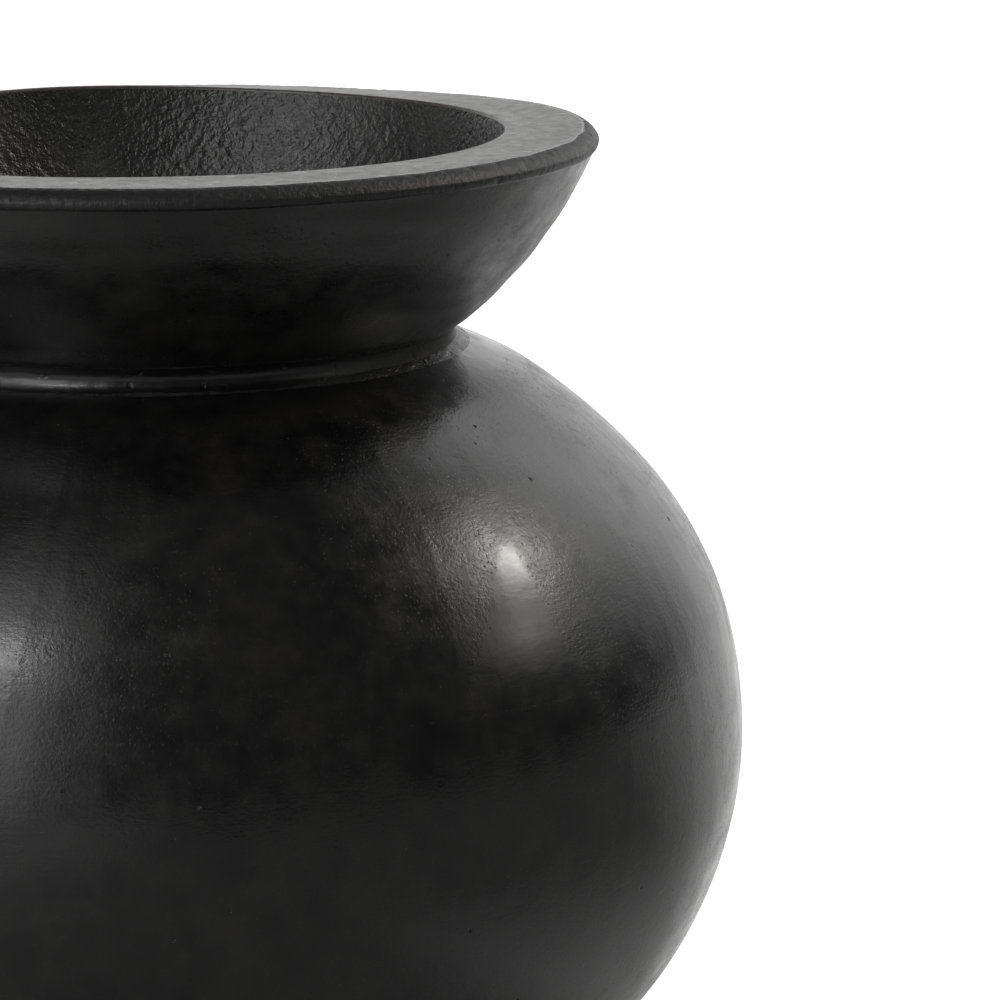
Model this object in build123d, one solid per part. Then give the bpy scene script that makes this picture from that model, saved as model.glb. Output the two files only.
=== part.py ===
"""A large burnished black clay pot: a round belly under a wide bowl-shaped collar with a thick lip.

The pot is raised the way a potter raises it, from separate pieces of clay: a dish that is pressed in
a saucer, flattened coils laid course on course, two collar coils, a thick lip coil, and a thin coil
pressed into the crease of the neck. Each seam is a bevelled lap, so every course sits in the one
below it. Millimetres, +Z up, origin on the axis at the underside.
"""

from build123d import *
import math
import os

# Driving dimensions of the whole pot
HEIGHT = 308.0
BELLY_RADIUS = 180.0
BELLY_CENTRE_Z = 120.0
BELLY_BEND = 128.0  # radius of the round of the belly, seen in section
WALL = 11.0
FLOOR_THICKNESS = 13.0

# The collar is a slice of a round bowl
BOWL_BEND = 142.0
BOWL_CENTRE = (5.5, 360.4)
BOWL_INSIDE_BEND = 130.0

# The lip, as distances from the axis and below the highest point
LIP_INSIDE_RADIUS = 107.0
LIP_EDGE_RADIUS = 129.8
LIP_EDGE_DROP = 0.2
LIP_INSIDE_ROUND = 1.0
LIP_BAND_SHOULDER = (134.2, 1.6)
LIP_BAND_RADIUS = 136.0
LIP_BAND_DROP = 3.7
LIP_GROOVE_DROP = 6.0
LIP_BAND_KNUCKLE = (135.8, 5.0)

# The neck
SHOULDER_END_ANGLE = 61.3  # where the round of the belly gives way to the straight neck coil
THROAT_RADIUS_AT_COLLAR = 76.5
THROAT_HEIGHT = 251.0
THROAT_ROUND = 7.0
LUTING_ROUND = 5.0

# The courses of clay
DISH_END_ANGLE = -50.0
BELLY_COILS = 5
LAP_ANGLE = 5.0  # each seam runs this much lower inside than outside
COLLAR_SEAM_Z = 277.0
COLLAR_SEAM_DROP = 9.0
LIP_SEAM_DROP = 12.0

BELLY_CENTRE = (BELLY_RADIUS - BELLY_BEND, BELLY_CENTRE_Z)
BELLY_INSIDE_BEND = BELLY_BEND - WALL


def on_circle(centre, radius, degrees):
    """The point of the section at that angle on a circle, from straight out and anticlockwise."""
    turn = math.radians(degrees)
    return (centre[0] + radius * math.cos(turn), centre[1] + radius * math.sin(turn))


def angle_of(centre, point):
    return math.degrees(math.atan2(point[1] - centre[1], point[0] - centre[0]))


def circle_at_height(centre, radius, z):
    """The outer point of a circle of the section at height z."""
    return (centre[0] + math.sqrt(radius**2 - (z - centre[1]) ** 2), z)


def line(start, end):
    return Line((start[0], 0, start[1]), (end[0], 0, end[1]))


def arc(centre, start, end):
    """The short arc from start to end round centre."""
    radius = math.dist(centre, start)
    first = angle_of(centre, start)
    turn = (angle_of(centre, end) - first + 180) % 360 - 180
    middle = on_circle(centre, radius, first + turn / 2)
    return ThreePointArc((start[0], 0, start[1]), (middle[0], 0, middle[1]), (end[0], 0, end[1]))


def arc_through(start, middle, end):
    return ThreePointArc((start[0], 0, start[1]), (middle[0], 0, middle[1]), (end[0], 0, end[1]))


def centre_of_bend(start, end, radius):
    """The centre, on the axis side, of the arc of that radius from start up to end."""
    half = math.dist(start, end) / 2
    along = ((end[0] - start[0]) / (2 * half), (end[1] - start[1]) / (2 * half))
    reach = math.sqrt(radius**2 - half**2)
    return (
        (start[0] + end[0]) / 2 - along[1] * reach,
        (start[1] + end[1]) / 2 + along[0] * reach,
    )


def rounding(point, along, away, centre, bend, radius):
    """A rounding tangent to a line and to the outside of a circle: its centre and two touch points.

    The line passes through point in the unit direction along, and the rounding lies on its away
    side. Its centre is at radius from the line and at bend + radius from the circle's centre.
    """
    base = (
        point[0] + away[0] * radius - centre[0],
        point[1] + away[1] * radius - centre[1],
    )
    b = base[0] * along[0] + base[1] * along[1]
    c = base[0] ** 2 + base[1] ** 2 - (bend + radius) ** 2
    travel = -b - math.sqrt(b * b - c)
    middle = (
        centre[0] + base[0] + along[0] * travel,
        centre[1] + base[1] + along[1] * travel,
    )
    on_line = (middle[0] - away[0] * radius, middle[1] - away[1] * radius)
    share = bend / (bend + radius)
    on_bend = (
        centre[0] + (middle[0] - centre[0]) * share,
        centre[1] + (middle[1] - centre[1]) * share,
    )
    return middle, on_line, on_bend


def turned(edges):
    """The ring or disc that a closed section makes round the axis."""
    return revolve(Face(Wire(edges)), Axis.Z, 360)


# The straight shoulder under the neck, which leaves the belly's round at a tangent
UPHILL = on_circle((0, 0), 1, SHOULDER_END_ANGLE + 90)
OUTWARD = on_circle((0, 0), 1, SHOULDER_END_ANGLE)
shoulder_foot = on_circle(BELLY_CENTRE, BELLY_BEND, SHOULDER_END_ANGLE)
ceiling_foot = on_circle(BELLY_CENTRE, BELLY_INSIDE_BEND, SHOULDER_END_ANGLE)

# The crease where the straight shoulder would meet the bowl, and the rounding that fills it
crease = rounding(shoulder_foot, UPHILL, OUTWARD, BOWL_CENTRE, BOWL_BEND, 0)[1]
luting_centre, luting_low, luting_high = rounding(
    shoulder_foot, UPHILL, OUTWARD, BOWL_CENTRE, BOWL_BEND, LUTING_ROUND
)

# The inside of the collar, and the rounded throat below it
lip_inside = (LIP_INSIDE_RADIUS, HEIGHT - LIP_INSIDE_ROUND)
throat_top = (THROAT_RADIUS_AT_COLLAR, THROAT_HEIGHT)
bowl_inside_centre = centre_of_bend(throat_top, lip_inside, BOWL_INSIDE_BEND)
throat_centre, throat_low, throat_high = rounding(
    ceiling_foot, UPHILL, OUTWARD, bowl_inside_centre, BOWL_INSIDE_BEND, THROAT_ROUND
)

# Seams of the collar, outside and inside
collar_seam_out = circle_at_height(BOWL_CENTRE, BOWL_BEND, COLLAR_SEAM_Z)
collar_seam_in = circle_at_height(
    bowl_inside_centre, BOWL_INSIDE_BEND, COLLAR_SEAM_Z - COLLAR_SEAM_DROP
)
lip_seam_out = circle_at_height(BOWL_CENTRE, BOWL_BEND, HEIGHT - LIP_GROOVE_DROP)
lip_seam_in = circle_at_height(
    bowl_inside_centre, BOWL_INSIDE_BEND, HEIGHT - LIP_GROOVE_DROP - LIP_SEAM_DROP
)


def base_dish():
    """The floor of the pot and its turned-up edge."""
    rest_edge = (BELLY_CENTRE[0] + math.sqrt(BELLY_BEND**2 - BELLY_CENTRE_Z**2), 0)
    rim_out = on_circle(BELLY_CENTRE, BELLY_BEND, DISH_END_ANGLE)
    rim_in = on_circle(BELLY_CENTRE, BELLY_INSIDE_BEND, DISH_END_ANGLE - LAP_ANGLE)
    floor_edge = circle_at_height(BELLY_CENTRE, BELLY_INSIDE_BEND, FLOOR_THICKNESS)
    return turned(
        [
            line((0, 0), rest_edge),
            arc(BELLY_CENTRE, rest_edge, rim_out),
            line(rim_out, rim_in),
            arc(BELLY_CENTRE, rim_in, floor_edge),
            line(floor_edge, (0, FLOOR_THICKNESS)),
            line((0, FLOOR_THICKNESS), (0, 0)),
        ]
    )


def belly_coil(low, high):
    """One flattened coil of the belly, between two angles of its round."""
    low_out = on_circle(BELLY_CENTRE, BELLY_BEND, low)
    high_out = on_circle(BELLY_CENTRE, BELLY_BEND, high)
    high_in = on_circle(BELLY_CENTRE, BELLY_INSIDE_BEND, high - LAP_ANGLE)
    low_in = on_circle(BELLY_CENTRE, BELLY_INSIDE_BEND, low - LAP_ANGLE)
    return turned(
        [
            arc(BELLY_CENTRE, low_out, high_out),
            line(high_out, high_in),
            arc(BELLY_CENTRE, high_in, low_in),
            line(low_in, low_out),
        ]
    )


def neck_coil():
    """The straight coil above the belly, which closes in to the neck and takes the collar's foot."""
    low_in = on_circle(BELLY_CENTRE, BELLY_INSIDE_BEND, SHOULDER_END_ANGLE - LAP_ANGLE)
    return turned(
        [
            line(shoulder_foot, crease),
            line(crease, throat_low),
            line(throat_low, ceiling_foot),
            arc(BELLY_CENTRE, ceiling_foot, low_in),
            line(low_in, shoulder_foot),
        ]
    )


def luting_coil():
    """The thin coil that is pressed into the crease between the shoulder and the collar."""
    return turned(
        [
            line(crease, luting_low),
            arc(luting_centre, luting_low, luting_high),
            arc(BOWL_CENTRE, luting_high, crease),
        ]
    )


def lower_collar_coil():
    """The collar's foot, which rests in the shoulder and rounds the throat, and its lower wall."""
    return turned(
        [
            arc(BOWL_CENTRE, crease, collar_seam_out),
            line(collar_seam_out, collar_seam_in),
            arc(bowl_inside_centre, collar_seam_in, throat_high),
            arc(throat_centre, throat_high, throat_low),
            line(throat_low, crease),
        ]
    )


def upper_collar_coil():
    """The upper wall of the collar, up to the groove under the lip."""
    return turned(
        [
            arc(BOWL_CENTRE, collar_seam_out, lip_seam_out),
            line(lip_seam_out, lip_seam_in),
            arc(bowl_inside_centre, lip_seam_in, collar_seam_in),
            line(collar_seam_in, collar_seam_out),
        ]
    )


def lip_coil():
    """The thick lip: a flat top that rolls over into a soft band, with a groove below it."""
    edge = (LIP_EDGE_RADIUS, HEIGHT - LIP_EDGE_DROP)
    band = (LIP_BAND_RADIUS, HEIGHT - LIP_BAND_DROP)
    shoulder = (LIP_BAND_SHOULDER[0], HEIGHT - LIP_BAND_SHOULDER[1])
    knuckle = (LIP_BAND_KNUCKLE[0], HEIGHT - LIP_BAND_KNUCKLE[1])
    inside_top = (LIP_INSIDE_RADIUS + LIP_INSIDE_ROUND, HEIGHT)
    round_centre = (inside_top[0], HEIGHT - LIP_INSIDE_ROUND)
    return turned(
        [
            arc_through(lip_seam_out, knuckle, band),
            arc_through(band, shoulder, edge),
            line(edge, inside_top),
            arc(round_centre, inside_top, lip_inside),
            arc(bowl_inside_centre, lip_inside, lip_seam_in),
            line(lip_seam_in, lip_seam_out),
        ]
    )


def pieces():
    """Every piece of clay by name, from the ground up."""
    step = (SHOULDER_END_ANGLE - DISH_END_ANGLE) / BELLY_COILS
    made = {"base_dish": base_dish()}
    for number in range(1, BELLY_COILS + 1):
        low = DISH_END_ANGLE + (number - 1) * step
        made[f"belly_coil_{number}"] = belly_coil(low, low + step)
    made["neck_coil"] = neck_coil()
    made["luting_coil"] = luting_coil()
    made["lower_collar_coil"] = lower_collar_coil()
    made["upper_collar_coil"] = upper_collar_coil()
    made["lip_coil"] = lip_coil()
    return made


os.makedirs("parts", exist_ok=True)
for name, piece in pieces().items():
    export_step(piece, f"parts/{name}.step")
    print(f"{name}: {piece.volume / 1000:.0f} cm3")
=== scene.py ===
# %% [markdown]
# # A burnished black clay pot
# This notebook dresses a imported model of a large black clay pot: a round belly, a narrow neck and a
# wide collar shaped like a bowl, with a thick lip. The imported model is the fixed frame. Its solids are
# true rounds, and every piece made here follows the same section, with the unevenness that a hand
# leaves. The first step loads the frame and keeps the size of its box.

# %% Load the frame
import math

import bpy
import numpy as np
from mathutils import Matrix, Vector


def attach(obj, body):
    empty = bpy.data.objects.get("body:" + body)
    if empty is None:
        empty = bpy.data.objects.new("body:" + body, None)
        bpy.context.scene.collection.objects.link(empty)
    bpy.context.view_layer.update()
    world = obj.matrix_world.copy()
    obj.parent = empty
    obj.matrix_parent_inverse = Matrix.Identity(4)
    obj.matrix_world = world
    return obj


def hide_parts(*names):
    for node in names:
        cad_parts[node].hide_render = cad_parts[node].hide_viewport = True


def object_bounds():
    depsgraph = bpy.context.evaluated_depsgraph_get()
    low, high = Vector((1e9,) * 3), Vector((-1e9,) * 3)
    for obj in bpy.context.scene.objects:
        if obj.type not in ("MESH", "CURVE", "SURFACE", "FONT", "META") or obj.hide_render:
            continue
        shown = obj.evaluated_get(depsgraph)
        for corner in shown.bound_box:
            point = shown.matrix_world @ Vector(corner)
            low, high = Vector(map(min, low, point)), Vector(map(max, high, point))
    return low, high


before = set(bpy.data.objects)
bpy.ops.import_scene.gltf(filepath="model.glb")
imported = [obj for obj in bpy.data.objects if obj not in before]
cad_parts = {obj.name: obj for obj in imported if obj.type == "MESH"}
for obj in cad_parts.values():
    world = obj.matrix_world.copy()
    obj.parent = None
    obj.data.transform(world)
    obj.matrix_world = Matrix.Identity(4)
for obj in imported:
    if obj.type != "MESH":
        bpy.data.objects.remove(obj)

MM = 0.001
CAD_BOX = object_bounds()
HEIGHT = CAD_BOX[1].z / MM
print("the frame's box is", [round((b - a) / MM, 1) for a, b in zip(*CAD_BOX)], "mm")

# %% [markdown]
# ## The camera
# A small product camera stands about a metre and a half away and a little above the lip, looking down
# at the right half of the collar. A long lens keeps the rounds true. The camera's own axes are built
# from three turns, yaw, pitch and a slight roll, because a matrix says exactly what a tracking
# constraint would leave to chance.

# %% The camera
YAW, PITCH, ROLL = (math.radians(a) for a in (3.78, 11.27, -0.55))
CAMERA_PLACE = Vector((0, -1.589, HEIGHT * MM + 0.1989))


def camera_matrix(place, yaw, pitch, roll):
    """The matrix of a camera that looks along +Y, turned right, tipped down and rolled."""
    ahead = Vector((math.sin(yaw) * math.cos(pitch), math.cos(yaw) * math.cos(pitch), -math.sin(pitch)))
    right = Vector((math.cos(yaw), -math.sin(yaw), 0))
    up = right.cross(ahead)
    rolled_right = math.cos(roll) * right + math.sin(roll) * up
    rolled_up = math.cos(roll) * up - math.sin(roll) * right
    turned = Matrix((rolled_right, rolled_up, -ahead)).transposed().to_4x4()
    return Matrix.Translation(place) @ turned


camera = bpy.data.objects.new("camera", bpy.data.cameras.new("camera"))
bpy.context.scene.collection.objects.link(camera)
camera.data.sensor_width = 36
camera.data.lens = 186.2
camera.data.clip_start, camera.data.clip_end = 0.05, 50
camera.matrix_world = camera_matrix(CAMERA_PLACE, YAW, PITCH, ROLL)
bpy.context.scene.camera = camera
print("the camera is", round(CAMERA_PLACE.length, 3), "m from the foot")

# %% [markdown]
# ## The section of the pot
# The pot is a solid of revolution before the hand makes it uneven, so one closed curve says nearly
# everything: from the middle of the underside, out and up over the belly, in at the neck, out along
# the collar, over the lip and down the inside to the floor. Each stretch of it is a straight line or
# an arc. The whole curve is measured by the distance travelled along it, so that any stretch of skin,
# on any piece of clay, is found by two numbers: how far along, and which way round.

# %% Lines and arcs of the section, in millimetres
BELLY_CENTRE, BELLY_BEND, WALL = (52.0, 120.0), 128.0, 11.0
BOWL_CENTRE, BOWL_BEND, BOWL_INSIDE_BEND = (5.5, HEIGHT + 52.4), 142.0, 130.0
FLOOR = 13.0
SHOULDER_END = 61.3
LIP_INSIDE, LIP_EDGE, LIP_ROUND = 107.0, 129.8, 1.0
THROAT_TOP, THROAT_ROUND, LUTING_ROUND = (76.5, 251.0), 7.0, 5.0
GROOVE_HEIGHT, LIP_SEAM_HEIGHT = HEIGHT - 6, HEIGHT - 18
COLLAR_SEAM_OUTSIDE, COLLAR_SEAM_INSIDE = 277, 268


def polar(centre, radius, degrees):
    """The point at that radius and bearing from the centre."""
    turn = math.radians(degrees)
    return np.array(centre) + radius * np.array([math.cos(turn), math.sin(turn)])


def bearing(centre, point):
    """The angle of the point seen from the centre, in degrees."""
    return math.degrees(math.atan2(point[1] - centre[1], point[0] - centre[0]))


def straight(start, end):
    """A straight stretch: its length, and start plus a share of the way to end."""
    start, end = np.array(start, float), np.array(end, float)
    return np.linalg.norm(end - start), lambda share: start + share[:, None] * (end - start)


def bend(centre, radius, first, last):
    """An arc from one bearing to another: centre plus radius times the cosine and sine."""
    def at(share):
        turn = np.radians(first + share * (last - first))
        return np.array(centre) + radius * np.stack([np.cos(turn), np.sin(turn)], 1)
    return math.radians(abs(last - first)) * radius, at


def bend_through(start, middle, end):
    """The arc through three points: the centre is as far from each of them."""
    a, b, c = (np.array(p, float) for p in (start, middle, end))
    centre = np.linalg.solve(2 * np.array([b - a, c - a]), [b @ b - a @ a, c @ c - a @ a])
    first, last = bearing(centre, a), bearing(centre, c)
    return bend(centre, np.linalg.norm(a - centre), first, first + (last - first + 180) % 360 - 180)


def rounding(point, along, away, centre, reach, radius):
    """The circle of that radius that touches a line and the outside of a round."""
    base = np.array(point) + radius * away - np.array(centre)
    b, c = base @ along, base @ base - (reach + radius) ** 2
    middle = np.array(centre) + base + along * (-b - math.sqrt(b * b - c))
    on_round = np.array(centre) + (middle - np.array(centre)) * reach / (reach + radius)
    return middle, middle - away * radius, on_round


# %% The whole section, stretch by stretch
UPHILL, OUTWARD = polar((0, 0), 1, SHOULDER_END + 90), polar((0, 0), 1, SHOULDER_END)
foot_edge = (BELLY_CENTRE[0] + math.sqrt(BELLY_BEND**2 - BELLY_CENTRE[1] ** 2), 0.0)
shoulder_foot = polar(BELLY_CENTRE, BELLY_BEND, SHOULDER_END)
ceiling_foot = polar(BELLY_CENTRE, BELLY_BEND - WALL, SHOULDER_END)
luting_middle, luting_low, luting_high = rounding(
    shoulder_foot, UPHILL, OUTWARD, BOWL_CENTRE, BOWL_BEND, LUTING_ROUND)
crease = rounding(shoulder_foot, UPHILL, OUTWARD, BOWL_CENTRE, BOWL_BEND, 0)[1]
groove = (BOWL_CENTRE[0] + math.sqrt(BOWL_BEND**2 - (GROOVE_HEIGHT - BOWL_CENTRE[1]) ** 2), GROOVE_HEIGHT)
lip_inside = (LIP_INSIDE, HEIGHT - LIP_ROUND)
half = np.linalg.norm(np.subtract(lip_inside, THROAT_TOP)) / 2
rise = np.subtract(lip_inside, THROAT_TOP) / (2 * half)
inside_centre = np.add(lip_inside, THROAT_TOP) / 2 + np.array([-rise[1], rise[0]]) * math.sqrt(
    BOWL_INSIDE_BEND**2 - half**2)
throat_middle, throat_low, throat_high = rounding(
    ceiling_foot, UPHILL, OUTWARD, inside_centre, BOWL_INSIDE_BEND, THROAT_ROUND)
floor_bearing = -math.degrees(math.asin((BELLY_CENTRE[1] - FLOOR) / (BELLY_BEND - WALL)))
floor_edge = polar(BELLY_CENTRE, BELLY_BEND - WALL, floor_bearing)
band = (136.0, HEIGHT - 3.7)
lip_edge = (LIP_EDGE, HEIGHT - 0.2)

STRETCHES = {
    "underside": straight((0, 0), foot_edge),
    "belly": bend(BELLY_CENTRE, BELLY_BEND, bearing(BELLY_CENTRE, foot_edge), SHOULDER_END),
    "shoulder": straight(shoulder_foot, luting_low),
    "luting": bend(luting_middle, LUTING_ROUND, bearing(luting_middle, luting_low),
                   bearing(luting_middle, luting_high) - 360),
    "bowl": bend(BOWL_CENTRE, BOWL_BEND, bearing(BOWL_CENTRE, luting_high), bearing(BOWL_CENTRE, groove)),
    "band": bend_through(groove, (135.8, HEIGHT - 5.0), band),
    "edge": bend_through(band, (134.2, HEIGHT - 1.6), lip_edge),
    "top": straight(lip_edge, (LIP_INSIDE + LIP_ROUND, HEIGHT)),
    "inner_edge": bend((LIP_INSIDE + LIP_ROUND, HEIGHT - LIP_ROUND), LIP_ROUND, 90, 180),
    "inner_bowl": bend(inside_centre, BOWL_INSIDE_BEND, bearing(inside_centre, lip_inside),
                       bearing(inside_centre, throat_high)),
    "throat": bend(throat_middle, THROAT_ROUND, bearing(throat_middle, throat_high),
                   bearing(throat_middle, throat_low) + 360),
    "ceiling": straight(throat_low, ceiling_foot),
    "inner_belly": bend(BELLY_CENTRE, BELLY_BEND - WALL, SHOULDER_END, floor_bearing),
    "floor": straight(floor_edge, (0, FLOOR)),
}
ENDS = np.cumsum([length for length, _ in STRETCHES.values()])
START = dict(zip(STRETCHES, [0.0, *ENDS[:-1]]))
TRAVEL = ENDS[-1]
print("the section is", round(TRAVEL, 1), "mm long, in", len(STRETCHES), "stretches")

# %% [markdown]
# The corners of the foot and of the floor are rounded by averaging. A point takes the mean of the
# curve a few millimetres either side of it, which leaves a straight or a gently curved stretch where
# it was and turns a corner into a soft one.

# %% A point of the section, and the way its skin faces
def section(s):
    """The point (r, z) of the curve at each distance s, stretch by stretch."""
    s = np.clip(s, 0, TRAVEL)
    which = np.minimum(np.searchsorted(ENDS, s, side="right"), len(ENDS) - 1)
    out = np.zeros((len(s), 2))
    for number, (length, at) in enumerate(STRETCHES.values()):
        here = which == number
        out[here] = at((s[here] - (ENDS[number] - length)) / length)
    return out


def hill(x, middle, width):
    """A smooth hill of height 1 and about that half width."""
    return np.exp(-(((x - middle) / width) ** 2))


def step(x, low, high):
    """0 below low and 1 above high, with a smooth slope between."""
    t = np.clip((x - low) / (high - low), 0, 1)
    return t * t * (3 - 2 * t)


def soft_section(s):
    """The curve averaged over a window that is widest at the foot and the floor's edge."""
    window = 7 * np.maximum(hill(s, START["belly"], 9), hill(s, START["floor"], 12))
    return np.mean([section(s + window * k / 6) for k in range(-6, 7)], axis=0)


def facing(s, spread=2.5):
    """The outward way (r, z) of the skin, read across a few millimetres so that it turns smoothly."""
    along = soft_section(np.minimum(s + spread, TRAVEL)) - soft_section(np.maximum(s - spread, 0))
    along /= np.linalg.norm(along, axis=1)[:, None]
    return np.stack([along[:, 1], -along[:, 0]], 1)


# %% [markdown]
# ## What the hand leaves
# A pot raised from coils is never quite round, and its skin has long soft facets where the stone ran
# up and down. The lip was cut and pressed by hand, so its face tips outward more at the back than at
# the front. The inside of the collar was scraped with a gourd or a metal kidney and left rough. Each
# of these is a sum of waves that close up round the pot. A wave over a grid is the product of a
# column and a row, so a few hundred of them are one matrix product.

# %% Waves that close up round the pot
def ripple(s, turn, seed, turns, pitch, count=60):
    """A random sum of waves, of unit spread: cosines of (whole number times angle) + (s over a length)."""
    rng = np.random.default_rng(seed)
    around = rng.integers(turns[0], turns[1] + 1, count)
    along = rng.choice([-1, 1], count) * 2 * np.pi / rng.uniform(*pitch, count)
    phase = rng.uniform(0, 2 * np.pi, count)
    rows_c, rows_s = np.cos(np.outer(s, along)), np.sin(np.outer(s, along))
    columns = np.outer(around, turn) + phase[:, None]
    return (rows_c @ np.cos(columns) - rows_s @ np.sin(columns)) * math.sqrt(2 / count)


def stretch_share(s, first, last, fade):
    """1 between two distances along the section, and 0 beyond them, with a smooth fade."""
    return step(s, first - fade, first) * (1 - step(s, last, last + fade))


# %% The uneven skin
def round_hill(turn, middle, width):
    """A smooth hill over the angles near middle, both in degrees, that closes up round the pot."""
    away = (turn - math.radians(middle) + np.pi) % (2 * np.pi) - np.pi
    return np.exp(-((away / math.radians(width)) ** 2))


def lip_tip(turn):
    """How far the lip's outer edge falls beyond its usual slope: most at the back, and least, where it
    even rises a little, at the right."""
    tips = 3.5 * round_hill(turn, 112, 30) + 0.8 * round_hill(turn, 62, 26)
    return tips - 1.0 * round_hill(turn, 12, 22) + 0.12 * np.cos(5 * turn + 0.4)


def lip_rise(turn):
    """How far the whole lip rises: it stands highest at the back."""
    return 2.0 * round_hill(turn, 112, 32) + 0.10 * np.cos(4 * turn)


def skin_offset(s, turn):
    """How far the skin stands out from the true round, in mm, as a grid of s by angle: a swell of the
    shoulder, soft facets of the stone, and a neck crease pressed in deeper on the right."""
    point = soft_section(s)
    z = point[:, 1]
    outside = 1 - step(s, START["top"], START["inner_edge"])
    belly = stretch_share(s, START["belly"] + 20, START["shoulder"] - 4, 25)
    swell = 0.6 * hill(z, 166, 24) - 0.45 * hill(z, 211, 13) + 1.8 * hill(z, 238, 9)
    grid = (outside * belly * swell)[:, None] * (0.8 + 0.2 * np.cos(turn))[None]
    strokes = ripple(s, turn, 11, (14, 34), (150, 500))
    facet = 1 - np.abs(np.sin(17 * turn[None] + 0.9 * strokes))
    grid += (outside * belly)[:, None] * 0.045 * facet
    grid += (outside * belly)[:, None] * 0.03 * ripple(s, turn, 12, (4, 24), (50, 140))
    collar = stretch_share(s, START["bowl"] + 6, START["band"] - 3, 5)
    grid += collar[:, None] * (0.06 * ripple(s, turn, 13, (1, 9), (9, 24))
                               + 0.05 * ripple(s, turn, 14, (8, 30), (20, 60)))
    luting = hill(s, START["luting"] + 4, 5)
    pressed = 2.2 * hill(s, (START["luting"] + START["bowl"]) / 2, 3.4)
    grid -= pressed[:, None] * round_hill(turn, -15, 62)
    grid += luting[:, None] * (0.12 * ripple(s, turn, 15, (2, 9), (20, 60))
                               + 0.03 * ripple(s, turn, 16, (20, 90), (6, 20)))
    return grid


def rim_offset(s, turn):
    """The lip's own unevenness: its rough outer edge, nicks in it and the marks of the cutting wire."""
    rng = np.random.default_rng(5)
    edge = stretch_share(s, START["band"] + 0.8, START["top"] - 0.4, 1.0)
    grid = edge[:, None] * (0.025 * ripple(s, turn, 21, (90, 260), (2.5, 9))
                            + 0.025 * ripple(s, turn, 22, (10, 50), (6, 20)))
    proud = step(s, START["band"] - 0.2, START["band"] + 0.5) * (1 - step(s, START["edge"], START["top"]))
    grid += 0.22 * proud[:, None] * (1 + 0.3 * ripple(s, turn, 25, (3, 30), (20, 60)))
    where = rng.uniform(0, 2 * np.pi, 26)
    along = START["band"] + rng.uniform(1.5, 8.5, 26)
    wide, deep = rng.uniform(0.5, 1.4, 26), rng.uniform(0.08, 0.40, 26)
    away = (turn[None] - where[:, None] + np.pi) % (2 * np.pi) - np.pi
    dent = np.exp(-((away * 134 / (wide[:, None] * 1.3)) ** 2))
    rows = np.exp(-(((s[:, None] - along[None]) / wide[None]) ** 2)) * deep[None]
    grid -= rows @ dent
    face = stretch_share(s, START["top"] + 1, START["inner_edge"] - 1, 2)
    grid += face[:, None] * (0.05 * ripple(s, turn, 23, (3, 14), (14, 50))
                             + 0.012 * ripple(s, turn, 24, (40, 160), (4, 14)))
    return grid


def scraped_offset(s, turn):
    """The scraped inside of the collar: short gouges that run up and down, rougher away from the lip."""
    rough = stretch_share(s, START["inner_bowl"] + 7, START["throat"] + 4, 5)
    flake = np.tanh(1.4 * ripple(s, turn, 31, (60, 190), (3, 9), 140))
    broad = ripple(s, turn, 32, (20, 70), (8, 30))
    patch = 0.55 + 0.45 * np.tanh(ripple(s, turn, 33, (2, 9), (30, 80)))
    grid = rough[:, None] * patch * (0.10 * flake + 0.08 * broad)
    deep = stretch_share(s, START["ceiling"], START["floor"] - 10, 8)
    return grid + deep[:, None] * 0.35 * ripple(s, turn, 34, (6, 30), (12, 50))


def skin(s, turn):
    """The pot's skin in metres: the true round, its unevenness, and the tipping of the lip."""
    point, out = soft_section(s), facing(s)
    offset = skin_offset(s, turn) + rim_offset(s, turn) + scraped_offset(s, turn)
    r = point[:, :1] + out[:, :1] * offset
    z = point[:, 1:] + out[:, 1:] * offset
    near_axis = step(point[:, 0], 5, 60)[:, None]
    r = r + near_axis * (0.30 * np.cos(2 * turn + 0.9) + 0.15 * np.cos(3 * turn + 2.2))[None]
    climb = step(s, START["band"] - 30, START["band"])
    tipped = climb * (1 - step(s, START["top"], START["inner_edge"]))
    lifted = climb * (1 - step(s, START["inner_bowl"], START["inner_bowl"] + 25))
    z = z - tipped[:, None] * lip_tip(turn)[None]
    z = z + lifted[:, None] * lip_rise(turn)[None]
    return MM * np.stack([r * np.cos(turn), r * np.sin(turn), z], -1)


# %% [markdown]
# ## Where the stone has polished
# The stone leaves some of the skin closed and smooth and passes over the rest, where the grain of the
# clay still stands open. A value on every point, from 0 for open to 1 for closed, says which. The
# finishes read it, so that a smooth place is smoother in every way at once.

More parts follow.
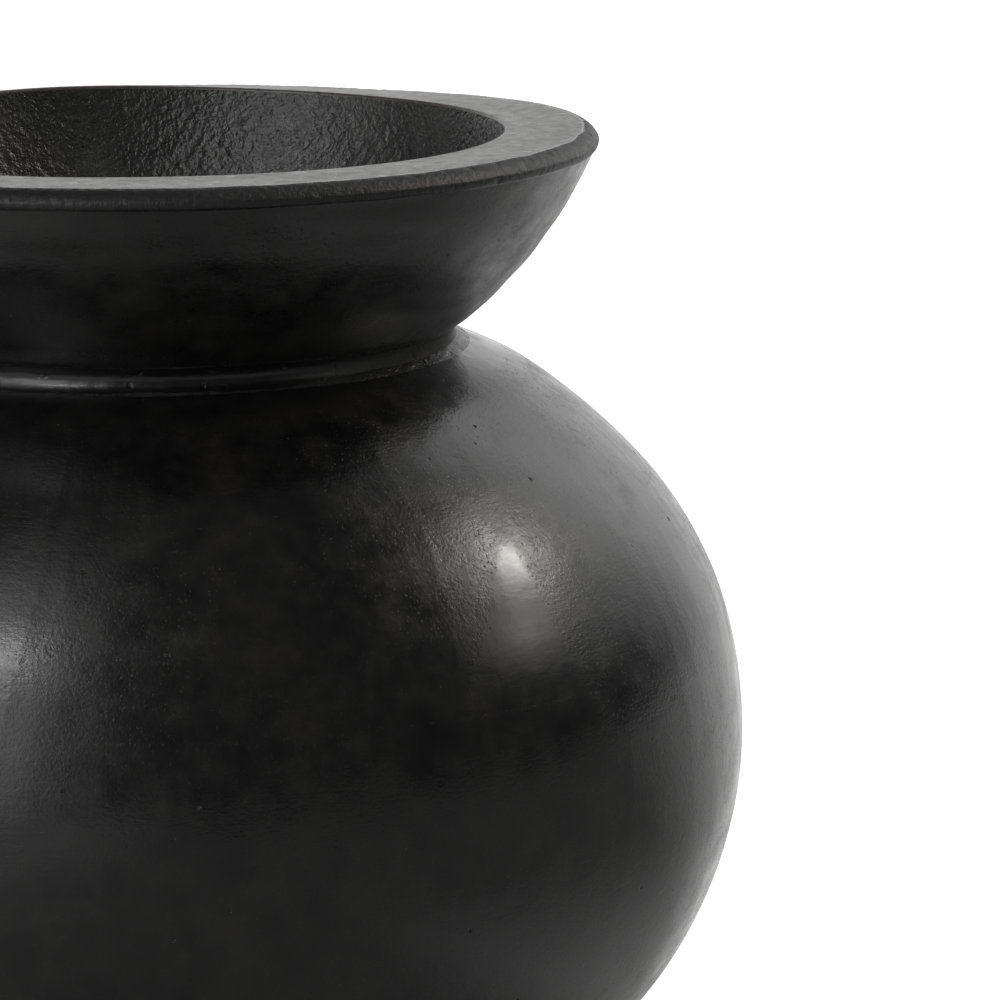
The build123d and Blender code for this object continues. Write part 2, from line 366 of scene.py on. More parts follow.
# %% The polish of each point
def polish(s, turn):
    """0 on open grain and 1 on closed skin: long waves, pushed towards their ends, and on the belly's
    right front one open round with a wedge of clear strokes below it. On the lip, 1 is its bare face
    and 0 its dark edge, with an uneven border."""
    wave = ripple(s, turn, 41, (3, 16), (60, 300)) + 0.6 * ripple(s, turn, 42, (14, 40), (30, 90))
    point = soft_section(s)
    x, y = point[:, :1] * np.cos(turn), point[:, :1] * np.sin(turn)
    z = point[:, 1:] + 0 * x
    front = step(-y, 0, 40)
    open_round = front * np.exp(-(((x - 100) / 24) ** 2 + ((z - 190) / 22) ** 4))
    below = 203 - z
    middle = 98.5 + 0.1 * below
    depth = np.clip(below, 0, 60)
    wedge = 1 - step(np.abs(x - middle) - 0.37 * depth, 0, 1.2 + 0.05 * depth)
    beside = 1 - step(np.abs(x - 76) - 8, 0, 5)
    strokes = np.maximum(wedge * step(below, 0, 5), beside * step(below, 18, 30))
    strokes = front * strokes * step(z, 120, 160)
    closed = (0.35 + 0.25 * np.tanh(0.7 * wave)) * (1 - open_round)
    closed = np.maximum(closed, strokes)
    border = START["top"] - 0.8 - 1.6 * round_hill(turn, 10, 34)
    border = border + 0.25 * ripple(s, turn, 43, (8, 60), (30, 90))
    face = np.clip((s[:, None] - border) / 0.9, 0, 1)
    dull = hill(s, START["luting"] + 4, 9)[:, None] * round_hill(turn, -30, 30)
    near_neck = stretch_share(s, START["luting"] - 8, START["bowl"], 6)[:, None] > 0.5
    closed = np.where(near_neck, 1 - dull, closed)
    on_lip = (s > START["band"] + 0.01)[:, None]
    return np.where(on_lip, face, closed)


def stone_reach(points):
    """Low under the collar, where the stone hardly reaches, lowest at the right, and 1 below the neck."""
    z = points[..., 2] / MM
    turn = np.arctan2(points[..., 1], points[..., 0])
    low = step(z, crease[1] + 0.5, crease[1] + 2) * (1 - 0.6 * step(z, 258, 303))
    return 1 - low * (0.3 + 0.7 * round_hill(turn, -25, 42))


# %% [markdown]
# ## The finishes
# Black clay is an iron-rich clay that is rubbed with a quartz stone while it is leather hard and then
# fired in smoke, which turns it black to the core. Nothing is painted on, so all the finishes are one
# clay, more or less rubbed. Three effects are shared: open pores, the fine grain of the clay, and the
# strokes of the stone. Each is a node group, built once, with its own sizes set where it is used.

# %% A helper for node trees, and the shared effects
def add(tree, kind, settings=None, **inputs):
    """A node of that kind, with its settings, and its inputs set to a value or linked from a socket."""
    node = tree.nodes.new(kind)
    for name, value in (settings or {}).items():
        setattr(node, name, value)
    for name, value in inputs.items():
        key = int(name[1:]) if name[0] == "_" and name[1:].isdigit() else name.replace("_", " ")
        if isinstance(value, bpy.types.NodeSocket):
            tree.links.new(value, node.inputs[key])
        else:
            node.inputs[key].default_value = value
    return node


def math_node(tree, operation, *values, clamp=False):
    """One sum of numbers or sockets, and the socket it comes out of."""
    node = add(tree, "ShaderNodeMath", {"operation": operation, "use_clamp": clamp},
               **{f"_{i}": v for i, v in enumerate(values)})
    return node.outputs[0]


def new_group(name, inputs, outputs):
    """An empty node group with named sockets, its input node and its output node."""
    group = bpy.data.node_groups.new(name, "ShaderNodeTree")
    for label, kind, value in inputs:
        socket = group.interface.new_socket(label, in_out="INPUT", socket_type=kind)
        if value is not None:
            socket.default_value = value
    for label, kind in outputs:
        group.interface.new_socket(label, in_out="OUTPUT", socket_type=kind)
    return group, group.nodes.new("NodeGroupInput"), group.nodes.new("NodeGroupOutput")


FLOAT, VECTOR = "NodeSocketFloat", "NodeSocketVector"


def pores_group():
    """Open pores: round pits, one to a cell of a random pattern, kept only in a share of the cells."""
    group, given, out = new_group("open_pores", [("Place", VECTOR, None), ("Cells per metre", FLOAT, 300.0),
                                  ("Radius", FLOAT, 0.15), ("Share", FLOAT, 0.3)], [("Pit", FLOAT)])
    wander = add(group, "ShaderNodeTexNoise", Vector=given.outputs["Place"], Scale=1300.0, Detail=1.0)
    ragged = add(group, "ShaderNodeVectorMath", {"operation": "MULTIPLY_ADD"}, _0=wander.outputs["Color"],
                 _1=(0.0011, 0.0011, 0.0011), _2=given.outputs["Place"])
    cell = add(group, "ShaderNodeTexVoronoi", {"feature": "F1"}, Vector=ragged.outputs[0],
               Scale=given.outputs["Cells per metre"])
    kept = add(group, "ShaderNodeSeparateColor", Color=cell.outputs["Color"])
    size = math_node(group, "MULTIPLY", given.outputs["Radius"],
                     math_node(group, "ADD", kept.outputs["Green"], 0.5))
    inside = add(group, "ShaderNodeMapRange", {"interpolation_type": "SMOOTHSTEP"},
                 Value=math_node(group, "DIVIDE", cell.outputs["Distance"], size),
                 From_Min=1.25, From_Max=0.55)
    picked = math_node(group, "LESS_THAN", kept.outputs["Red"], given.outputs["Share"])
    group.links.new(math_node(group, "MULTIPLY", inside.outputs[0], picked), out.inputs["Pit"])
    return group


def grain_group():
    """The grain of the clay: two sizes of noise, the finer one weaker, centred on nought."""
    group, given, out = new_group("clay_grain", [("Place", VECTOR, None), ("Grains per metre", FLOAT, 900.0)],
                                  [("Grain", FLOAT)])
    noise = add(group, "ShaderNodeTexNoise", Vector=given.outputs["Place"],
                Scale=given.outputs["Grains per metre"], Detail=2.5, Roughness=0.6)
    group.links.new(math_node(group, "SUBTRACT", noise.outputs[0], 0.5), out.inputs["Grain"])
    return group


def strokes_group():
    """Strokes of the stone: noise that is drawn out one way by squeezing the other two."""
    group, given, out = new_group("stone_strokes", [("Place", VECTOR, None), ("Squeeze", VECTOR, (1, 1, 1)),
                                  ("Strokes per metre", FLOAT, 60.0)], [("Stroke", FLOAT)])
    drawn = add(group, "ShaderNodeVectorMath", {"operation": "MULTIPLY"}, _0=given.outputs["Place"],
                _1=given.outputs["Squeeze"])
    noise = add(group, "ShaderNodeTexNoise", Vector=drawn.outputs[0],
                Scale=given.outputs["Strokes per metre"], Detail=3.0, Roughness=0.55, Distortion=0.4)
    group.links.new(math_node(group, "SUBTRACT", noise.outputs[0], 0.5), out.inputs["Stroke"])
    return group


PORES, GRAIN, STROKES = pores_group(), grain_group(), strokes_group()
print("shared effects:", PORES.name, GRAIN.name, STROKES.name)


# %% Laying an effect into a material
def effect(tree, group, place, **values):
    """A shared effect at a place, with its own sizes."""
    node = add(tree, "ShaderNodeGroup", {"node_tree": group}, Place=place, **values)
    return node.outputs[0]


def blend(tree, share, low, high):
    """low where share is 0 and high where it is 1, for numbers."""
    return add(tree, "ShaderNodeMix", {"data_type": "FLOAT"}, Factor=share, _2=low, _3=high).outputs[0]


def tint(tree, share, low, high):
    """low where share is 0 and high where it is 1, for colours."""
    node = tree.nodes.new("ShaderNodeMix")
    node.data_type = "RGBA"
    for key, value in ((0, share), (6, low), (7, high)):
        if isinstance(value, bpy.types.NodeSocket):
            tree.links.new(value, node.inputs[key])
        else:
            node.inputs[key].default_value = (*value, 1)
    return node.outputs[2]


def new_finish(name):
    """A new material, its tree and shader, and each point's own place on the pot."""
    material = bpy.data.materials.new(name)
    material.use_nodes = True
    tree = material.node_tree
    shader = tree.nodes["Principled BSDF"]
    place = add(tree, "ShaderNodeTexCoord").outputs["Object"]
    return material, tree, shader, place


# %% [markdown]
# The burnished skin is nearly black with a graphite sheen. Its sheen comes from a clear, even gloss
# that the grain breaks up where the stone didn't close it.

# %% The burnished skin
def burnished_clay():
    material, tree, shader, place = new_finish("burnished_black_clay")
    closed = add(tree, "ShaderNodeAttribute", {"attribute_name": "polish"}).outputs["Fac"]
    open_ = math_node(tree, "SUBTRACT", 1.0, closed)
    grain = effect(tree, GRAIN, place, Grains_per_metre=900.0)
    coarse = effect(tree, GRAIN, place, Grains_per_metre=330.0)
    level = effect(tree, STROKES, place, Squeeze=(1, 1, 4.5), Strokes_per_metre=260.0)
    upright = effect(tree, STROKES, place, Squeeze=(4, 4, 0.5), Strokes_per_metre=60.0)
    rubbing = effect(tree, STROKES, place, Squeeze=(1.2, 1.2, 3.5), Strokes_per_metre=45.0)
    fine_pores = effect(tree, PORES, place, Cells_per_metre=900.0, Radius=0.26, Share=0.35)
    pinholes = effect(tree, PORES, place, Cells_per_metre=130.0, Radius=0.075, Share=0.16)
    flecks = effect(tree, PORES, place, Cells_per_metre=300.0, Radius=0.06, Share=0.22)
    cloud = effect(tree, GRAIN, place, Grains_per_metre=16.0)
    mottle = effect(tree, GRAIN, place, Grains_per_metre=90.0)
    patches = math_node(tree, "MULTIPLY_ADD", mottle, 2.0, math_node(tree, "MULTIPLY", cloud, 2.0))
    mix = math_node(tree, "ADD", patches, 0.5, clamp=True)
    colour = tint(tree, mix, (0.0034, 0.0033, 0.0034), (0.0118, 0.0108, 0.0101))
    # Pits and pinholes are also painted near black in the colour: painted shade in the holes, on top of their
    # sunk bumps.
    pits = math_node(tree, "MULTIPLY", math_node(tree, "MULTIPLY", fine_pores, open_), 0.5)
    colour = tint(tree, math_node(tree, "MAXIMUM", pinholes, pits), colour, (0.001, 0.001, 0.001))
    colour = tint(tree, flecks, colour, (0.035, 0.033, 0.030))
    tree.links.new(colour, shader.inputs["Base Color"])
    reach = add(tree, "ShaderNodeAttribute", {"attribute_name": "reach"}).outputs["Fac"]
    rough = blend(tree, reach, 0.45, blend(tree, closed, 0.24, 0.185))
    rough = math_node(tree, "MULTIPLY_ADD", patches, 0.16, rough)
    rough = math_node(tree, "MULTIPLY_ADD", level, 0.12, rough)
    rough = math_node(tree, "MULTIPLY_ADD", upright, 0.14, rough)
    rough = math_node(tree, "MULTIPLY_ADD", rubbing, 0.22, rough)
    holes = math_node(tree, "MAXIMUM", pinholes, pits)
    rough = math_node(tree, "MULTIPLY_ADD", holes, 0.5, rough, clamp=True)
    tree.links.new(rough, shader.inputs["Roughness"])
    height = math_node(tree, "MULTIPLY", grain, blend(tree, closed, 0.75, 0.08))
    height = math_node(tree, "MULTIPLY_ADD", coarse, blend(tree, closed, 0.60, 0.20), height)
    height = math_node(tree, "MULTIPLY_ADD", math_node(tree, "MULTIPLY", fine_pores, open_), -0.25, height)
    height = math_node(tree, "MULTIPLY_ADD", level, blend(tree, closed, 0.55, 0.08), height)
    height = math_node(tree, "MULTIPLY_ADD", upright, 0.35, height)
    height = math_node(tree, "MULTIPLY_ADD", rubbing, 0.8, height)
    height = math_node(tree, "MULTIPLY_ADD", pinholes, -4.0, height)
    bump = add(tree, "ShaderNodeBump", Strength=1.0, Distance=0.00010, Height=height)
    tree.links.new(bump.outputs[0], shader.inputs["Normal"])
    shader.inputs["IOR"].default_value = 1.52
    return material


# %% The clay pressed into the neck, where no stone can reach
def pressed_clay():
    material, tree, shader, place = new_finish("pressed_neck_clay")
    smooth = add(tree, "ShaderNodeAttribute", {"attribute_name": "polish"}).outputs["Fac"]
    grain = effect(tree, GRAIN, place, Grains_per_metre=700.0)
    level = effect(tree, STROKES, place, Squeeze=(1, 1, 5), Strokes_per_metre=90.0)
    painted_shade_pits = effect(tree, PORES, place, Cells_per_metre=330.0, Radius=0.26, Share=0.22)
    brown = effect(tree, GRAIN, place, Grains_per_metre=34.0)
    share = math_node(tree, "MULTIPLY_ADD", brown, 2.6, 0.4, clamp=True)
    share = math_node(tree, "MULTIPLY", share, math_node(tree, "SUBTRACT", 1.0, smooth))
    colour = tint(tree, share, (0.0045, 0.0043, 0.0043), (0.0160, 0.0138, 0.0122))
    # The pits are painted darker as well as sunk by the bump: painted shade in the pits.
    colour = tint(tree, math_node(tree, "MULTIPLY", painted_shade_pits, 0.8), colour, (0.003, 0.003, 0.003))
    tree.links.new(colour, shader.inputs["Base Color"])
    rough = blend(tree, smooth, 0.88, 0.22)
    tree.links.new(math_node(tree, "MULTIPLY_ADD", level, 0.2, rough, clamp=True), shader.inputs["Roughness"])
    height = math_node(tree, "MULTIPLY", grain, blend(tree, smooth, 2.2, 0.6))
    height = math_node(tree, "MULTIPLY_ADD", level, 0.8, height)
    height = math_node(tree, "MULTIPLY_ADD", painted_shade_pits, -1.4, height)
    bump = add(tree, "ShaderNodeBump", Strength=1.0, Distance=0.00012, Height=height)
    tree.links.new(bump.outputs[0], shader.inputs["Normal"])
    shader.inputs["IOR"].default_value = 1.52
    return material


# %% The rubbed lip and the scraped inside
def rubbed_clay():
    material, tree, shader, place = new_finish("rubbed_lip_clay")
    bare = add(tree, "ShaderNodeAttribute", {"attribute_name": "polish"}).outputs["Fac"]
    grain = effect(tree, GRAIN, place, Grains_per_metre=1100.0)
    coarse = effect(tree, GRAIN, place, Grains_per_metre=260.0)
    drag = effect(tree, STROKES, place, Squeeze=(1, 1, 6), Strokes_per_metre=220.0)
    across = effect(tree, STROKES, place, Squeeze=(5, 5, 0.6), Strokes_per_metre=190.0)
    pores = effect(tree, PORES, place, Cells_per_metre=320.0, Radius=0.20, Share=0.15)
    mix = math_node(tree, "MULTIPLY_ADD", coarse, 1.8, 0.5, clamp=True)
    pale = tint(tree, mix, (0.046, 0.0425, 0.0415), (0.084, 0.077, 0.074))
    colour = tint(tree, bare, (0.0045, 0.0043, 0.0042), pale)
    # The pores are painted darker as well as sunk by the bump: painted shade in the pores.
    colour = tint(tree, math_node(tree, "MULTIPLY", pores, 0.8), colour, (0.004, 0.004, 0.004))
    tree.links.new(colour, shader.inputs["Base Color"])
    rough = math_node(tree, "MULTIPLY_ADD", drag, 0.2, blend(tree, bare, 0.50, 0.31))
    crest = math_node(tree, "MULTIPLY", bare, math_node(tree, "SUBTRACT", 1.0, bare))
    rough = math_node(tree, "MULTIPLY_ADD", crest, -0.8, rough)
    rough = math_node(tree, "MULTIPLY_ADD", coarse, 0.2, rough, clamp=True)
    tree.links.new(rough, shader.inputs["Roughness"])
    height = math_node(tree, "MULTIPLY_ADD", coarse, 0.9, grain)
    height = math_node(tree, "MULTIPLY_ADD", drag, 1.5, height)
    height = math_node(tree, "MULTIPLY_ADD", across, blend(tree, bare, 2.2, 0.0), height)
    height = math_node(tree, "MULTIPLY_ADD", pores, -1.2, height)
    bump = add(tree, "ShaderNodeBump", Strength=1.0, Distance=0.00009, Height=height)
    tree.links.new(bump.outputs[0], shader.inputs["Normal"])
    shader.inputs["IOR"].default_value = 1.52
    return material


def scraped_clay():
    material, tree, shader, place = new_finish("scraped_inside_clay")
    grain = effect(tree, GRAIN, place, Grains_per_metre=900.0)
    flakes = effect(tree, GRAIN, place, Grains_per_metre=430.0)
    gouges = effect(tree, STROKES, place, Squeeze=(1, 1, 0.9), Strokes_per_metre=360.0)
    cloud = effect(tree, GRAIN, place, Grains_per_metre=40.0)
    mix = math_node(tree, "MULTIPLY_ADD", cloud, 1.8, 0.5, clamp=True)
    colour = tint(tree, mix, (0.012, 0.0116, 0.0114), (0.034, 0.0325, 0.0315))
    tree.links.new(colour, shader.inputs["Base Color"])
    rough = math_node(tree, "MULTIPLY_ADD", gouges, 0.5, 0.33)
    tree.links.new(math_node(tree, "MULTIPLY_ADD", cloud, 0.4, rough, clamp=True), shader.inputs["Roughness"])
    height = math_node(tree, "MULTIPLY_ADD", flakes, 2.3, grain)
    height = math_node(tree, "MULTIPLY_ADD", gouges, 1.2, height)
    bump = add(tree, "ShaderNodeBump", Strength=1.0, Distance=0.00030, Height=height)
    tree.links.new(bump.outputs[0], shader.inputs["Normal"])
    shader.inputs["IOR"].default_value = 1.52
    return material


FINISHES = {"burnished": burnished_clay(), "pressed": pressed_clay(), "rubbed": rubbed_clay(),
            "scraped": scraped_clay()}
FINISHES["raw"] = FINISHES["scraped"]
print("finishes:", ", ".join(m.name for m in FINISHES.values()))

# %% [markdown]
# ## Making a piece of clay
# A piece takes one stretch of skin outside and, where it reaches the hollow, one inside. The two are
# closed by its seams, which run straight between their ends, so the next piece has the same seam and
# they meet with no gap. The normals are worked out from the skin itself, not from the faces, so a
# burnished seam doesn't show, as on the real pot, while the crease of the neck and the groove under
# the lip stay sharp.

# %% Grids of skin, their normals and the closed mesh
def distances(first, last, gap):
    """Distances from first to last, evenly spaced, and closer on the tight rounds of the lip and neck."""
    fine = np.arange(first, last, 0.1)
    tight = np.max([stretch_share(fine, START[n] - 0.5, START[n] + STRETCHES[n][0] + 0.5, 1.5)
                    for n in ("luting", "band", "edge", "inner_edge", "throat")], axis=0)
    density = np.cumsum(1 / (gap * (1 - tight) + 0.45 * tight))
    count = max(3, int(math.ceil(0.1 * density[-1])))
    return np.interp(np.linspace(density[0], density[-1], count + 1), density, np.append(fine[:-1], last))


def skin_normals(s, turn, limits):
    """Unit normals of the skin, from the cross product of its slopes both ways, within sharp limits."""
    h = 0.15
    before, after = np.maximum(s - h, limits[0]), np.minimum(s + h, limits[1])
    up = skin(after, turn) - skin(before, turn)
    round_ = skin(s, turn + 0.0006) - skin(s, turn - 0.0006)
    normal = np.cross(round_, up)
    return normal / np.maximum(np.linalg.norm(normal, axis=2, keepdims=True), 1e-12)


SHARP = [0.0, START["band"], TRAVEL]


def patch(first, last, around, gap, finish):
    """One stretch of skin on a grid: its points, normals, polish and finish."""
    s = distances(first, last, gap)
    turn = np.arange(around) * 2 * np.pi / around
    limits = (max(x for x in SHARP if x <= first + 1e-6), min(x for x in SHARP if x >= last - 1e-6))
    return skin(s, turn), skin_normals(s, turn, limits), polish(s, turn), finish


def seam(start, end, rows=3):
    """A seam: rows that run straight from one ring of points to another, each with its own normal."""
    share = np.linspace(0, 1, rows)[:, None, None]
    points = start[None] * (1 - share) + end[None] * share
    across = np.roll(points, -1, 1) - np.roll(points, 1, 1)
    normal = np.cross(across, np.broadcast_to(end - start, points.shape))
    normal /= np.maximum(np.linalg.norm(normal, axis=2, keepdims=True), 1e-12)
    return points, normal, np.zeros(points.shape[:2]), "raw"


def clay(name, grids, poles=False):
    """A closed mesh of grids that follow one another round the section. Each cell of a grid is a face,
    from its row to the next and from its column to the next, and the last row joins the first, or, on
    the dish, each end shrinks to one point on the axis."""
    around = grids[0][0].shape[1]
    rows = np.concatenate([g[0][:-1] for g in grids] + ([grids[-1][0][-1:]] if poles else []))
    shine = np.concatenate([g[2][:-1] for g in grids] + ([grids[-1][2][-1:]] if poles else []))
    finishes = list(dict.fromkeys(g[3] for g in grids))
    corners, normals, finish, row = [], [], [], 0
    column = np.arange(around)[None]
    beside = (column + 1) % around
    for points, normal, _, kind in grids:
        n = len(points) - 1
        low = (row + np.arange(n))[:, None]
        high = low + 1 if poles else (low + 1) % len(rows)
        corners.append(np.stack([low * around + column, low * around + beside,
                                 high * around + beside, high * around + column], -1).reshape(-1, 4))
        normals.append(np.stack([normal[:-1], np.roll(normal[:-1], -1, 1),
                                 np.roll(normal[1:], -1, 1), normal[1:]], 2).reshape(-1, 4, 3))
        finish.append(np.full(n * around, finishes.index(kind)))
        row += n
    corners, normals, finish = (np.concatenate(x) for x in (corners, normals, finish))
    used = np.ones(corners.shape, bool)
    if poles:
        used[:around, 1] = False
        used[-around:, 3] = False
        corners[:around, :2] = 0
        corners[-around:, 2:] = (len(rows) - 1) * around
        normals[:around, :2] = (0, 0, -1)
        normals[-around:, 2:] = (0, 0, 1)
    place = rows.reshape(-1, 3)
    names, corner = np.unique(corners[used], return_inverse=True)
    mesh = bpy.data.meshes.new(name)
    mesh.vertices.add(len(names))
    mesh.vertices.foreach_set("co", place[names].ravel())
    mesh.loops.add(len(corner))
    mesh.loops.foreach_set("vertex_index", corner.astype(np.int32))
    sides = used.sum(1)
    mesh.polygons.add(len(sides))
    mesh.polygons.foreach_set("loop_start", np.concatenate([[0], np.cumsum(sides)[:-1]]).astype(np.int32))
    mesh.polygons.foreach_set("material_index", finish.astype(np.int32))
    for kind in finishes:
        mesh.materials.append(FINISHES[kind])
    mesh.update(calc_edges=True)
    mesh.validate()
    mesh.polygons.foreach_set("use_smooth", np.ones(len(mesh.polygons), bool))
    for label, value in (("polish", shine), ("reach", stone_reach(rows))):
        layer = mesh.attributes.new(label, "FLOAT", "POINT")
        layer.data.foreach_set("value", value.ravel()[names].astype(np.float32))
    mesh.normals_split_custom_set(normals[used].astype(np.float32))
    piece = bpy.data.objects.new(name + "_clay", mesh)
    bpy.context.scene.collection.objects.link(piece)
    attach(piece, "root")
    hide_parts(name)
    return piece


# %% [markdown]
# ## The pieces, from the ground up
# The dish comes first, then the belly's coils, each set in the one below. Their seams run a little
# lower inside than outside, so that each coil sits in the last and can't slip.

# %% The dish and the belly's coils
DISH_END, COILS, LAP = -50.0, 5, 5.0
COIL_RISE = (SHOULDER_END - DISH_END) / COILS


def outside_at(degrees):
    """The distance along the section of the belly's outside at that bearing."""
    return START["belly"] + math.radians(degrees - bearing(BELLY_CENTRE, foot_edge)) * BELLY_BEND


def inside_at(degrees):
    """The distance along the section of the belly's inside at that bearing."""
    return START["inner_belly"] + math.radians(SHOULDER_END - degrees) * (BELLY_BEND - WALL)


def ring(s, around):
    """One ring of the skin, at a distance along the section."""
    return skin(np.array([s]), np.arange(around) * 2 * np.pi / around)[0]


def closed_round(parts, around):
    """The parts with a straight seam between the end of each and the start of the next."""
    grids = []
    for number, part in enumerate(parts):
        grids.append(part)
        after = parts[(number + 1) % len(parts)]
        if not np.allclose(part[0][-1], after[0][0], atol=1e-9):
            grids.append(seam(part[0][-1], after[0][0]))
    return grids


dish_out = patch(0, outside_at(DISH_END), 720, 4.0, "burnished")
dish_in = patch(inside_at(DISH_END - LAP), TRAVEL, 720, 5.0, "scraped")
pieces = [clay("base_dish", [dish_out, seam(dish_out[0][-1], dish_in[0][0]), dish_in], poles=True)]
for number in range(COILS):
    low = DISH_END + number * COIL_RISE
    high = low + COIL_RISE
    outer = patch(outside_at(low), outside_at(high), 720, 1.6, "burnished")
    inner = patch(inside_at(high - LAP), inside_at(low - LAP), 720, 4.0, "scraped")
    pieces.append(clay(f"belly_coil_{number + 1}", closed_round([outer, inner], 720)))
print([(p.name, len(p.data.polygons)) for p in pieces])

# %% The neck, the collar and the lip
AROUND = 960
CREASE = MM * np.stack([crease[0] * np.cos(np.arange(AROUND) * 2 * np.pi / AROUND),
                        crease[0] * np.sin(np.arange(AROUND) * 2 * np.pi / AROUND),
                        np.full(AROUND, crease[1])], -1)
seam_bearing = math.degrees(math.asin((COLLAR_SEAM_OUTSIDE - BOWL_CENTRE[1]) / BOWL_BEND))
collar_seam_out = START["bowl"] + math.radians(seam_bearing - bearing(BOWL_CENTRE, luting_high)) * BOWL_BEND


def inner_bowl_at(z):
    """The distance along the section of the collar's inside at that height."""
    turn = math.degrees(math.asin((z - inside_centre[1]) / BOWL_INSIDE_BEND))
    return START["inner_bowl"] + math.radians(bearing(inside_centre, lip_inside) - turn) * BOWL_INSIDE_BEND


neck_out = patch(START["shoulder"], START["luting"], AROUND, 1.2, "burnished")
neck_in = patch(START["ceiling"], inside_at(SHOULDER_END - LAP), AROUND, 2.5, "scraped")
pieces.append(clay("neck_coil", [neck_out, seam(neck_out[0][-1], CREASE), seam(CREASE, neck_in[0][0]),
                                 neck_in, seam(neck_in[0][-1], neck_out[0][0])]))
luting = patch(START["luting"], START["bowl"], AROUND, 0.45, "pressed")
pieces.append(clay("luting_coil", [luting, seam(luting[0][-1], CREASE), seam(CREASE, luting[0][0])]))
lower_out = patch(START["bowl"], collar_seam_out, AROUND, 1.2, "burnished")
lower_in = patch(inner_bowl_at(COLLAR_SEAM_INSIDE), START["ceiling"], AROUND, 0.9, "scraped")
pieces.append(clay("lower_collar_coil", [lower_out, seam(lower_out[0][-1], lower_in[0][0]), lower_in,
                                         seam(lower_in[0][-1], CREASE), seam(CREASE, lower_out[0][0])]))
upper_out = patch(collar_seam_out, START["band"], AROUND, 1.2, "burnished")
upper_in = patch(inner_bowl_at(LIP_SEAM_HEIGHT), inner_bowl_at(COLLAR_SEAM_INSIDE), AROUND, 0.9, "scraped")
pieces.append(clay("upper_collar_coil", closed_round([upper_out, upper_in], AROUND)))
lip_top = patch(START["band"], START["inner_edge"] + 1.5, AROUND, 0.8, "rubbed")
lip_in = patch(START["inner_edge"] + 1.5, inner_bowl_at(LIP_SEAM_HEIGHT), AROUND, 0.9, "scraped")
pieces.append(clay("lip_coil", closed_round([lip_top, lip_in], AROUND)))
print([(p.name, len(p.data.polygons)) for p in pieces[-5:]])

# %% [markdown]
# ## The studio
# The pot stands on a pale floor that runs up into a white sweep, with a big soft lamp high on the right,
# a tall one on the left and nothing in front. So the near side of the belly stays black, and only its
# edges catch the sweep. Every lamp is a soft patch in the world, placed by azimuth, where 0 is the
# camera's side and 90 the right, and by elevation. Far lamps light each piece of the pot alike. The
# camera is shown a white room while the clay reflects a dim one, which no real studio can do: it keeps
# the ground white and the clay black at once.
# The floor does the same with a painted glow: white to the camera, and for the clay's reflections brighter
# behind, to the left and near the right side.

# %% Soft lamps in the world
def lamp_group():
    """A soft lamp: its glow times e to the minus of two squares added, how far away in azimuth over its
    spread across, and how far in elevation over its spread up."""
    inputs = [(n, FLOAT, 0.0) for n in ("Azimuth", "Elevation", "Centre", "Height")]
    inputs += [(n, FLOAT, 20.0) for n in ("Spread across", "Spread up")] + [("Glow", FLOAT, 1.0)]
    group, given, out = new_group("soft_lamp", inputs, [("Glow", FLOAT)])
    total = 0.0
    for way, centre, spread in (("Azimuth", "Centre", "Spread across"), ("Elevation", "Height", "Spread up")):
        away = math_node(group, "SUBTRACT", given.outputs[way], given.outputs[centre])
        away = math_node(group, "DIVIDE", away, given.outputs[spread])
        total = math_node(group, "ADD", total, math_node(group, "MULTIPLY", away, away))
    fall = math_node(group, "EXPONENT", math_node(group, "MULTIPLY", total, -1.0))
    group.links.new(math_node(group, "MULTIPLY", fall, given.outputs["Glow"]), out.inputs["Glow"])
    return group


def smooth_range(tree, value, low, high):
    """0 at low and 1 at high, with a smooth slope between."""
    return add(tree, "ShaderNodeMapRange", {"interpolation_type": "SMOOTHSTEP"}, Value=value, From_Min=low,
               From_Max=high).outputs[0]


def studio_world():
    """The lamps and the sweep, which only reflections see. The camera sees plain white."""
    world = bpy.data.worlds.new("white_sweep")
    world.use_nodes = True
    tree = world.node_tree
    tree.nodes.clear()
    way = add(tree, "ShaderNodeSeparateXYZ", Vector=add(tree, "ShaderNodeTexCoord").outputs["Generated"])
    behind = math_node(tree, "MULTIPLY", way.outputs["Y"], -1.0)
    azimuth = math_node(tree, "DEGREES", math_node(tree, "ARCTAN2", way.outputs["X"], behind))
    elevation = math_node(tree, "DEGREES", math_node(tree, "ARCSINE", way.outputs["Z"]))
    lamp = lamp_group()
    light = {"warm": 0.0, "white": DIM_ROOM}
    for colour, centre, height, across, up, glow in LAMPS:
        node = add(tree, "ShaderNodeGroup", {"node_tree": lamp}, Azimuth=azimuth, Elevation=elevation,
                   Centre=centre, Height=height, Spread_across=across, Spread_up=up, Glow=glow)
        light[colour] = math_node(tree, "ADD", light[colour], node.outputs[0])
    side = smooth_range(tree, math_node(tree, "ABSOLUTE", azimuth), *SWEEP_SIDE)
    top = smooth_range(tree, elevation, *SWEEP_TOP)
    sweep = math_node(tree, "MULTIPLY", side, top)
    white = math_node(tree, "MULTIPLY_ADD", sweep, SWEEP_GLOW, light["white"])
    seen = add(tree, "ShaderNodeLightPath").outputs["Is Camera Ray"]
    plain = add(tree, "ShaderNodeBackground", Color=(1, 1, 1, 1), Strength=blend(tree, seen, white, 1.0))
    warm = add(tree, "ShaderNodeBackground", Color=(1, 0.95, 0.905, 1),
               Strength=blend(tree, seen, light["warm"], 0.0))
    both = add(tree, "ShaderNodeAddShader", _0=plain.outputs[0], _1=warm.outputs[0])
    add(tree, "ShaderNodeOutputWorld", Surface=both.outputs[0])
    return world


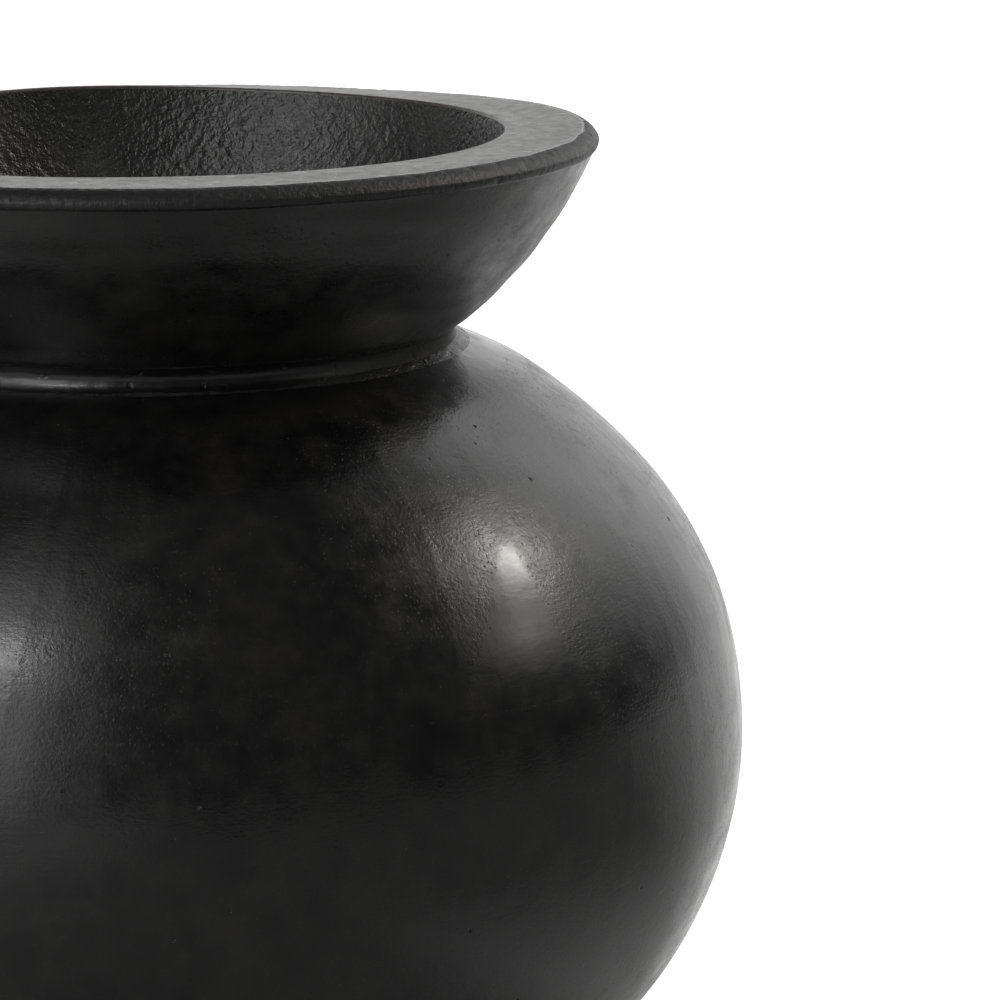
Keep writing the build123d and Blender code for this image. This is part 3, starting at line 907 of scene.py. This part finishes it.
# colour, centre azimuth, elevation, spread across, spread up, glow
LAMPS = [("warm", 101, 39.5, 8.5, 5.8, 14.0), ("warm", 95, 48, 14, 9, 1.0), ("warm", 86, 29, 12, 7, 2.2),
         ("white", 104, 27, 24, 12, 0.7), ("white", 134, 38, 19, 24, 1.55), ("white", -50, 20, 22, 27, 3.0),
         ("white", -41, 40, 7, 5, 7.5), ("white", -50, 52, 22, 14, 0.9)]
DIM_ROOM = 0.09
SWEEP_SIDE, SWEEP_TOP, SWEEP_GLOW = (110, 150), (34, 14), 0.9
bpy.context.scene.world = studio_world()
bpy.context.scene.view_settings.view_transform = "Standard"
print("the world has", len(LAMPS), "soft lamps and a sweep")

# %% The floor, with a painted glow
floor_mesh = bpy.data.meshes.new("floor")
floor_mesh.from_pydata([(-6, -6, 0), (6, -6, 0), (6, 6, 0), (-6, 6, 0)], [], [(0, 1, 2, 3)])
floor = bpy.data.objects.new("floor", floor_mesh)
bpy.context.scene.collection.objects.link(floor)
pale = bpy.data.materials.new("pale_floor_painted_glow")
pale.use_nodes = True
tree = pale.node_tree
tree.nodes.clear()
# The floor glows though it is no lamp. To the camera it glows white, fading from full at 0.2 m to none at
# 0.06 m from the axis, so the floor's real shading and the pot's shadow show near the foot.
spot = add(tree, "ShaderNodeTexCoord").outputs["Object"]
away = add(tree, "ShaderNodeVectorMath", {"operation": "LENGTH"}, _0=spot).outputs["Value"]
clear = smooth_range(tree, away, 0.06, 0.20)
back = add(tree, "ShaderNodeSeparateXYZ", Vector=spot).outputs["Y"]
beyond = smooth_range(tree, math_node(tree, "DIVIDE", back, away), -0.05, 0.75)
painted_glow_left = smooth_range(tree, add(tree, "ShaderNodeSeparateXYZ", Vector=spot).outputs["X"], 0.05, -0.5)
right = smooth_range(tree, add(tree, "ShaderNodeSeparateXYZ", Vector=spot).outputs["X"], 0.12, 0.20)
near = math_node(tree, "MULTIPLY", right, smooth_range(tree, away, 0.42, 0.20))
seen = add(tree, "ShaderNodeLightPath").outputs["Is Camera Ray"]
# Painted glow that the clay reflects and is lit by: brighter behind the pot, to the left and near its right
# side.
glow = math_node(tree, "MULTIPLY_ADD", painted_glow_left, 0.35, math_node(tree, "MULTIPLY", beyond, 0.72))
glow = math_node(tree, "MULTIPLY_ADD", near, 0.30, glow)
white = blend(tree, seen, glow, math_node(tree, "MULTIPLY", clear, 0.92))
lit = add(tree, "ShaderNodeBsdfDiffuse", Color=(0.45, 0.45, 0.45, 1))
glow = add(tree, "ShaderNodeEmission", Strength=white)
both = add(tree, "ShaderNodeAddShader", _0=lit.outputs[0], _1=glow.outputs[0])
add(tree, "ShaderNodeOutputMaterial", Surface=both.outputs[0])
floor_mesh.materials.append(pale)
print("the floor is", floor.dimensions.x, "m across")
